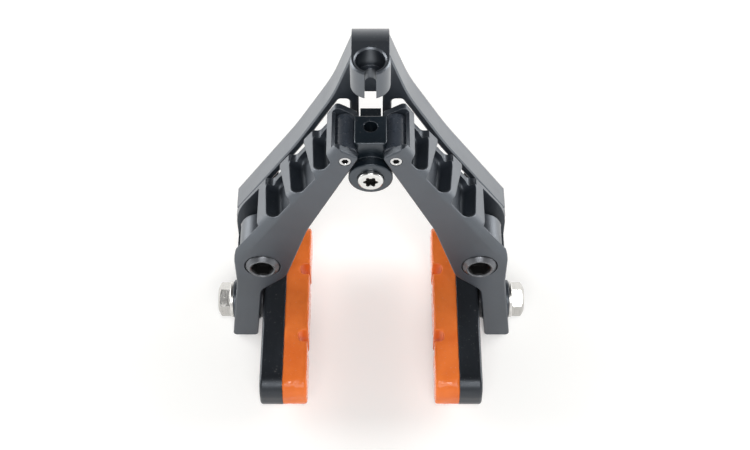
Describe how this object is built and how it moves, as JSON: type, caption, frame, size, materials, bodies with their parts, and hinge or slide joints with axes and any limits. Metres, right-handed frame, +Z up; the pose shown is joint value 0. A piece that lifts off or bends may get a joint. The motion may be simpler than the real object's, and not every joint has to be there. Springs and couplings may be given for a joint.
{
  "type": "caliper brake",
  "caption": "Direct-mount bicycle rim brake with two arms spread by a cable-pulled cam between rollers, on a V-shaped yoke.",
  "frame": {"origin": "midpoint of the two mounting bolts on the yoke's rear mounting face", "axes": "+X to the right seen from the front, +Y rearwards along the mounting bolts into the frame, +Z up towards the cable stop"},
  "size_m": [0.083, 0.058, 0.102],
  "materials": {
    "anodised_yoke": "black anodised, satin",
    "anodised_arm": "black anodised, satin, machined with bright bevels",
    "anodised_holder": "black anodised, satin",
    "anodised_carriage": "black anodised, satin",
    "black_steel": "black oxide, satin",
    "bushing_steel": "ground steel",
    "thrust_polymer": "matt black",
    "spring_steel": "drawn spring wire",
    "roller_polymer": "matt black",
    "polished_steel": "polished",
    "washer_steel": "plain, satin",
    "pad_rubber": "moulded orange rubber"
  },
  "bodies": {
    "frame": {"yoke_frame": "anodised_yoke", "mounting_bolt_left": "black_steel", "mounting_bolt_right": "black_steel", "pivot_bushing_left": "bushing_steel", "pivot_bushing_right": "bushing_steel", "thrust_washer_left": "thrust_polymer", "thrust_washer_right": "thrust_polymer", "return_spring_left": "spring_steel", "return_spring_right": "spring_steel"},
    "arm_left": {"arm_left": "anodised_arm", "roller_pin_left": "polished_steel", "brake_pad_left": "pad_rubber", "pad_holder_left": "anodised_holder", "pad_screw_left": "black_steel", "pad_bolt_left": "polished_steel", "dished_washer_left": "washer_steel", "outer_washer_left": "washer_steel"},
    "arm_right": {"arm_right": "anodised_arm", "roller_pin_right": "polished_steel", "brake_pad_right": "pad_rubber", "pad_holder_right": "anodised_holder", "pad_screw_right": "black_steel", "pad_bolt_right": "polished_steel", "dished_washer_right": "washer_steel", "outer_washer_right": "washer_steel"},
    "roller_left": {"roller_left": "roller_polymer"},
    "roller_right": {"roller_right": "roller_polymer"},
    "carriage": {"cam_carriage": "anodised_carriage", "cable_clamp_bolt": "polished_steel", "cable_clamp_plate": "washer_steel"}
  },
  "joints": [
    {"name": "arm_left_pivot", "type": "hinge", "parent": "frame", "child": "arm_left", "pos_m": [-0.028, 0, 0], "axis": [0, -1, 0], "range_deg": [0, 3], "stiffness_Nm_per_rad": 0.9, "springref_deg": -20.05},
    {"name": "arm_right_pivot", "type": "hinge", "parent": "frame", "child": "arm_right", "pos_m": [0.028, 0, 0], "axis": [0, 1, 0], "range_deg": [0, 3], "stiffness_Nm_per_rad": 0.9, "springref_deg": -20.05},
    {"name": "carriage_slide", "type": "slide", "parent": "frame", "child": "carriage", "axis": [0, 0, 1], "range_m": [0, 0.006]},
    {"name": "roller_left_spin", "type": "hinge", "parent": "arm_left", "child": "roller_left", "pos_m": [-0.006, 0, 0.0425], "axis": [0, 1, 0], "continuous": true},
    {"name": "roller_right_spin", "type": "hinge", "parent": "arm_right", "child": "roller_right", "pos_m": [0.006, 0, 0.0425], "axis": [0, 1, 0], "continuous": true}
  ],
  "couplings": [
    {"joint": "arm_right_pivot", "follows": "arm_left_pivot", "ratio": 1},
    {"joint": "carriage_slide", "follows": "arm_left_pivot", "m_per_rad": 0.11364}
  ]
}
